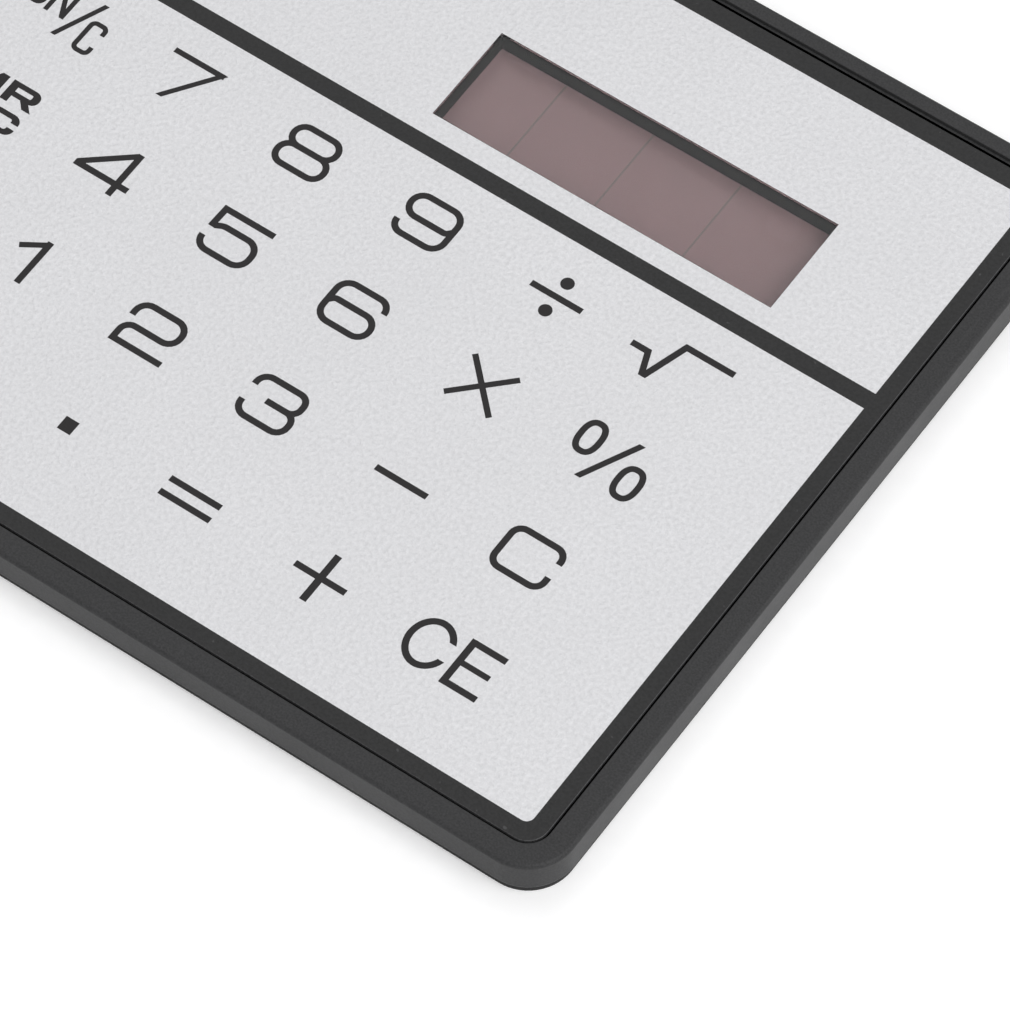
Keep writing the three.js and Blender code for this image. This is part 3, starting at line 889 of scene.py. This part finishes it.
def lengthened(points, pen):
    """Points with both ends moved outwards by half the pen, so that two strokes make a full corner."""
    half = Vector(pen) / 2
    ends = []
    for end, neighbour in ((points[0], points[1]), (points[-1], points[-2])):
        away = (Vector(end) - Vector(neighbour)).normalized()
        ends.append((end[0] + away.x * half.x, end[1] + away.y * half.y))
    return [ends[0], *points[1:-1], ends[1]]


def letter(character, left, bottom, width, height, pen):
    """A letter's strokes in a box, to the middle of the strokes."""
    wide_pen = pen if isinstance(pen, tuple) else (pen, pen)
    strokes = []
    for points, corner, ends in LETTER_SHAPES[character]:
        placed = [(left + width * x, bottom + height * y) for x, y in points]
        if ends == SQUARE:
            placed = lengthened(placed, wide_pen)
        radius = corner * min(width, height)
        strokes.append(line(placed, radius, wide_pen, ends == LOOP, ends == LEVEL))
    return strokes


def word(text, bottom, width=LETTER_WIDTH, height=LETTER_HEIGHT, pen=LETTER_PEN, middle=0.0):
    """Letters side by side."""
    pitch = width + LETTER_SPACE
    left = middle - (pitch * len(text) - LETTER_SPACE) / 2
    strokes = []
    for index, character in enumerate(text):
        strokes += letter(character, left + pitch * index, bottom, width, height, pen)
    return strokes


def function_names():
    """The legends of the clearing, memory and tax keys."""
    long_width = 0.82
    narrow_pen = (0.36, 0.30)
    middle_line = -LETTER_HEIGHT / 2
    slim = 0.30
    on_c = [
        *letter("O", -2.45, -0.36, 0.95, 2.04, slim),
        *letter("N", -1.03, -0.40, 1.12, 2.12, slim),
        line([(1.80, 1.67), (0.35, -1.67)], pen=slim, level_ends=True),
        *letter("C", 1.82, -1.75, 0.98, 2.10, slim),
    ]
    legends = {
        "on_c": on_c,
        "mr_mc": [*word("MR", 0.42, middle=0.39), *word("MC", -1.56, middle=0.39)],
        "m_minus": word("M-", middle_line),
        "m_plus": word("M+", middle_line),
        "gt": word("GT", middle_line),
        "mu": word("MU", middle_line),
        "double_zero": word("00", -DIGIT_Y, width=1.75, height=2 * DIGIT_Y, pen=PEN),
        "backspace": [shape([(1.35, 1.05), (-1.35, 0), (1.35, -1.05)])],
        "sign": [
            *letter("+", -2.2, 0.1, 1.3, 1.3, PEN),
            line([(0.75, 1.67), (-0.75, -1.67)], pen=THIN_PEN, level_ends=True),
            line([(0.8, -0.9), (2.2, -0.9)]),
        ],
    }
    for name, text in (("tax_minus", "TAX-"), ("tax_plus", "TAX+"), ("rate", "RATE")):
        legends[name] = word(text, middle_line, width=long_width, pen=narrow_pen)
    return legends


LEGENDS = {**digits(), **signs(), **function_names()}

# How far the print sits off the middle of each column of keys.
COLUMN_SHIFT = [-0.05, -0.05, -0.18, -0.13, -0.03, -0.23, 0.05, 0.07]


def spaced(path, closed):
    """The path with points added, so that no part of it is longer than INK_STEP."""
    ends = path[1:] + path[:1] if closed else path[1:]
    points = []
    for start, end in zip(path, ends):
        parts = max(1, math.ceil(math.dist(start, end) / INK_STEP))
        for part in range(parts):
            share = part / parts
            points.append(tuple(a + (b - a) * share for a, b in zip(start, end)))
    return points if closed else points + [path[-1]]


def stroke_edges(stroke):
    """The two edges of a stroke. The pen is an oval, so this works where the oval is a circle."""
    wide, high = stroke["pen"]
    closed = stroke["closed"]
    sharpest = 0.4                      # keeps the outside of a sharp corner from running far out
    path = [Vector((x / wide, y / high)) for x, y in spaced(stroke["path"], closed)]
    left, right = [], []
    for index, point in enumerate(path):
        at_start = index == 0 and not closed
        at_end = index == len(path) - 1 and not closed
        arriving = None if at_start else (point - path[index - 1]).normalized()
        leaving = None if at_end else (path[(index + 1) % len(path)] - point).normalized()
        along = (arriving or leaving) + (leaving or arriving)
        along.normalize()
        reference = arriving or leaving
        side = Vector((-along.y, along.x))
        side *= 0.5 / max(sharpest, along.dot(reference))
        if stroke["level_ends"] and (at_start or at_end):
            side = Vector((-0.5 / along.y, 0))
        for edge, sign in ((left, 1), (right, -1)):
            corner = point + side * sign
            edge.append((corner.x * wide, corner.y * high))
    return left, right


def add_stroke(mesh, stroke, x, y, bottom, top, material):
    """A stroke of ink as a closed solid."""
    left, right = stroke_edges(stroke)
    stations = []
    for (left_x, left_y), (right_x, right_y) in zip(left, right):
        stations.append(
            [
                mesh.verts.new((x + left_x, y + left_y, bottom)),
                mesh.verts.new((x + right_x, y + right_y, bottom)),
                mesh.verts.new((x + right_x, y + right_y, top)),
                mesh.verts.new((x + left_x, y + left_y, top)),
            ]
        )
    following = stations[1:] + stations[:1] if stroke["closed"] else stations[1:]
    for near, far in zip(stations, following):
        join_rings(mesh, near, far, material)
    if not stroke["closed"]:
        for end in (stations[0], stations[-1]):
            mesh.faces.new(end).material_index = material


def add_shape(mesh, points, x, y, bottom, top, material):
    """A filled shape of ink as a closed solid."""
    outline = [(x + px, y + py) for px, py in points]
    lower, upper = loft(mesh, [(outline, bottom), (outline, top)], material)
    for ring in (lower, upper):
        mesh.faces.new(ring).material_index = material


def add_ink(mesh, strokes, x, y, bottom, top, material):
    """A legend's strokes. Each lies a hair higher than the one before, so that crossings stay clean."""
    for index, stroke in enumerate(strokes):
        height = top + index * INK_LAYER
        if "shape" in stroke:
            add_shape(mesh, stroke["shape"], x, y, bottom, height, material)
        else:
            add_stroke(mesh, stroke, x, y, bottom, height, material)


# ---------- Film over the keys ----------
def grid_lines(pad, outside):
    """Places of the grid's lines across a patch: close together where the film bends."""
    ring = pad + KEY_CLEARANCE
    bend_steps = 8
    pad_steps = 3
    bends = [pad + KEY_CLEARANCE * step / bend_steps for step in range(bend_steps + 1)]
    inside = [pad * step / pad_steps for step in range(pad_steps)]
    positive = inside + bends + [(ring + outside) / 2, outside]
    return sorted({-value for value in positive} | set(positive))


def add_grid_slab(mesh, lines_x, lines_y, x, y, bottom, top):
    """A closed plate made of small squares, so that it can bend."""
    layers = []
    for z in (bottom, top):
        layers.append([[mesh.verts.new((x + px, y + py, z)) for px in lines_x] for py in lines_y])
    for layer in layers:
        for row, next_row in zip(layer, layer[1:]):
            for index in range(len(row) - 1):
                mesh.faces.new((row[index], row[index + 1], next_row[index + 1], next_row[index]))
    rims = []
    for layer in layers:
        right = [row[-1] for row in layer[1:]]
        left = [row[0] for row in layer[-2:0:-1]]
        rims.append(layer[0] + right + layer[-1][-2::-1] + left)
    join_rings(mesh, rims[0], rims[1])


def bend_over_key(piece):
    """Bakes the piece's placement into its mesh."""
    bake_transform(piece)


def key_films():
    """One piece of film for each key, with its legend."""
    columns = sorted({round(centre_of(box).x, 2) for box in KEYS.values()})
    for name, box in KEYS.items():
        middle = centre_of(box)
        size = half_size(box)
        outer_x, outer_y = patch_half_size(box)
        mesh = bmesh.new()
        add_grid_slab(
            mesh,
            grid_lines(size.x, outer_x),
            grid_lines(size.y, outer_y),
            middle.x,
            middle.y,
            FILM_BOTTOM,
            FILM_TOP,
        )
        ink = 1
        ink_x = middle.x + COLUMN_SHIFT[columns.index(round(middle.x, 2))]
        ink_bottom = FILM_TOP - INK_DEPTH
        add_ink(mesh, LEGENDS[name], ink_x, middle.y, ink_bottom, FILM_TOP + INK_HEIGHT, ink)
        piece = make_piece(mesh, "film_over_" + name, [SILVER, INK], None)
        bend_over_key(piece)


# ---------- Behind the windows ----------
def solar_cell():
    """A glass plate with four strips of silicon on it, thin lines between them and a dark margin."""
    mesh = bmesh.new()
    glass, silicon_part, lines = 0, 1, 2
    low, high = SOLAR_CELL
    chamfer = 0.06
    rings = loft(
        mesh,
        [
            (hole_round(SOLAR_CELL, -chamfer), low.z),
            (hole_round(SOLAR_CELL, 0), low.z + chamfer),
            (hole_round(SOLAR_CELL, 0), high.z - chamfer),
            (hole_round(SOLAR_CELL, -chamfer), high.z),
        ],
        glass,
    )
    fill(mesh, [rings[0]], glass)
    fill(mesh, [rings[-1]], glass)
    margin = 0.4
    strip_count = 4
    bottom = high.z - 0.02
    silicon_top = high.z + 0.01
    line_top = high.z + 0.008
    first_x = CELL_MIDDLE_LINE - strip_count / 2 * CELL_STRIP
    middle_y = centre_of(SOLAR_CELL).y
    half_y = half_size(SOLAR_CELL).y - margin
    for strip in range(strip_count):
        x = first_x + (strip + 0.5) * CELL_STRIP
        outline = rectangle((CELL_STRIP - CELL_LINE) / 2, half_y, 0, (x, middle_y))
        add_slab(mesh, outline, [], bottom, silicon_top, silicon_part)
    for gap in range(strip_count + 1):
        x = first_x + gap * CELL_STRIP
        outline = rectangle(CELL_LINE / 2, half_y, 0, (x, middle_y))
        add_slab(mesh, outline, [], bottom, line_top, lines)
    materials = [CELL_GLASS, SILICON, CELL_LINES]
    piece = make_piece(mesh, "solar_cell_plate", materials, "case")
    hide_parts("solar_cell")


def lcd_segment(x, y, length, thickness, upright, slant):
    """One pointed bar of a seven-segment digit."""
    half = length / 2
    point = thickness / 2
    bar = [
        (-half, 0),
        (-half + point, -point),
        (half - point, -point),
        (half, 0),
        (half - point, point),
        (-half + point, point),
    ]
    if upright:
        bar = [(-py, px) for px, py in bar]
    return shape([(x + px + (y + py) * slant, y + py) for px, py in bar])


def lcd_digits():
    """Digits on the display: the last shows 0 and a point, and the others are only just visible."""
    mesh = bmesh.new()
    ghost, dark = 0, 1
    middle = centre_of(LCD_PANE)
    places = 8
    side_room = 0.4                     # room beside the first and last digit, in digits
    pitch = half_size(LCD_PANE).x * 2 / (places + 2 * side_room)
    digit_x = 0.72
    digit_y = 1.95
    thickness = 0.34
    gap = 0.06
    slant = 0.08
    point_x = pitch / 2 - 0.05
    point_radius = 0.2
    bottom = LCD_FACE[1].z - 0.005
    top = LCD_FACE[1].z + 0.008
    level_length = 2 * digit_x - gap
    upright_length = digit_y - gap
    bars = [
        (0, digit_y, level_length, False, True),
        (0, 0, level_length, False, False),
        (0, -digit_y, level_length, False, True),
        (-digit_x, digit_y / 2, upright_length, True, True),
        (digit_x, digit_y / 2, upright_length, True, True),
        (-digit_x, -digit_y / 2, upright_length, True, True),
        (digit_x, -digit_y / 2, upright_length, True, True),
    ]
    for place in range(places):
        x = middle.x + (place - (places - 1) / 2) * pitch
        last = place == places - 1
        for bar_x, bar_y, length, upright, in_zero in bars:
            part = dark if last and in_zero else ghost
            segment = lcd_segment(bar_x, bar_y, length, thickness, upright, slant)
            add_ink(mesh, [segment], x, middle.y, bottom, top, part)
        point = dot(point_x, -digit_y, point_radius, sides=12)
        add_ink(mesh, [point], x, middle.y, bottom, top, dark if last else ghost)
    make_piece(mesh, "lcd_digits", [LCD_GHOST, LCD_DARK], "case")


# ---------- Setting ----------
def floor():
    """A pale light table that curves up far from the object, so that low views meet no edge."""
    material, shader = new_material("pale_floor", (0.9, 0.9, 0.9), 0.7)
    shader.inputs["Emission Color"].default_value = (1, 1, 1, 1)
    shader.inputs["Emission Strength"].default_value = 0.15
    tree = material.node_tree
    paper = noise(tree, 1.2, detail=3)
    mottle = remap(tree, paper, 0.3, 0.7, 0, 1)
    tone = mix_colours(tree, mottle, (0.92, 0.92, 0.92), (0.945, 0.945, 0.945))
    tree.links.new(tone, shader.inputs["Base Color"])
    tree.links.new(remap(tree, paper, 0.3, 0.7, 0.65, 0.8), shader.inputs["Roughness"])
    flat_radius = 1.4
    curve_radius = 0.6
    curve_end = math.radians(60)
    curve_steps = 8
    rings = [(0.05, 0.0), (0.3, 0.0), (flat_radius, 0.0)]
    for step in range(1, curve_steps + 1):
        angle = curve_end * step / curve_steps
        radius = flat_radius + curve_radius * math.sin(angle)
        rings.append((radius, curve_radius * (1 - math.cos(angle))))
    mesh = bmesh.new()
    sides = 64
    turns = [2 * math.pi * side / sides for side in range(sides)]
    loops = []
    for radius, height in rings:
        circle = [(radius * math.cos(a), radius * math.sin(a)) for a in turns]
        loops.append(add_ring(mesh, circle, height))
    mesh.faces.new(loops[0])
    for inner, outer in zip(loops, loops[1:]):
        join_rings(mesh, outer, inner)
    for face in mesh.faces:
        face.smooth = True
    data = bpy.data.meshes.new("floor")
    mesh.to_mesh(data)
    mesh.free()
    data.materials.append(material)
    piece = bpy.data.objects.new("floor", data)
    bpy.context.scene.collection.objects.link(piece)


def softbox(name, direction, distance, width, height, radiance, glossy=True, diffuse=True):
    """A large soft light that looks at the object, as bright as radiance over its whole face.

    One that isn't glossy makes no highlights, and one that isn't diffuse makes nothing else.
    """
    light = bpy.data.lights.new(name, "AREA")
    light.shape = "RECTANGLE"
    light.size = width
    light.size_y = height
    light.energy = radiance * math.pi * width * height
    place = bpy.data.objects.new(name, light)
    away = Vector(direction).normalized()
    place.location = away * distance
    place.rotation_euler = away.to_track_quat("Z", "Y").to_euler()
    place.visible_glossy = glossy
    place.visible_diffuse = diffuse
    bpy.context.scene.collection.objects.link(place)


def lights():
    softbox("right_softbox", (0.62, -0.12, 0.77), 1.2, 1.0, 1.0, 2.7)
    softbox("front_softbox", (0.36, -0.42, 0.83), 1.3, 0.9, 0.9, 1.9, glossy=False)
    softbox("strip_softbox", (0.72, 0.42, 0.55), 1.2, 0.22, 1.1, 2.6, diffuse=False)
    softbox("overhead_softbox", (-0.32, 0.42, 0.85), 1.2, 1.1, 1.1, 0.9)
    world = bpy.data.worlds.new("studio")
    world.use_nodes = True
    world.node_tree.nodes["Background"].inputs["Color"].default_value = (0.25, 0.25, 0.255, 1)
    bpy.context.scene.world = world


def camera():
    """Looks down at the keyboard's right half from its front right corner."""
    azimuth = math.radians(36.83)
    elevation = math.radians(58.19)
    roll = math.radians(-1.74)
    aim = Vector((26.995, -8.831, FILM_TOP)) * MM
    distance = 388.6 * MM
    lens = bpy.data.cameras.new("camera")
    lens.sensor_width = 36
    lens.lens = 252.65
    lens.clip_start = 0.01
    lens.clip_end = 20
    place = bpy.data.objects.new("camera", lens)
    turn = (
        Matrix.Rotation(azimuth, 4, "Z")
        @ Matrix.Rotation(math.pi / 2 - elevation, 4, "X")
        @ Matrix.Rotation(roll, 4, "Z")
    )
    back = turn.to_3x3() @ Vector((0, 0, 1))
    place.matrix_world = Matrix.Translation(aim + back * distance) @ turn
    bpy.context.scene.collection.objects.link(place)
    bpy.context.scene.camera = place


# ---------- The whole scene ----------
front_frame()
back_cover()
face_film()
window_panes()
key_films()
solar_cell()
lcd_digits()
finish_cad_nodes()
floor()
lights()
camera()
bpy.context.scene.view_settings.view_transform = "Standard"
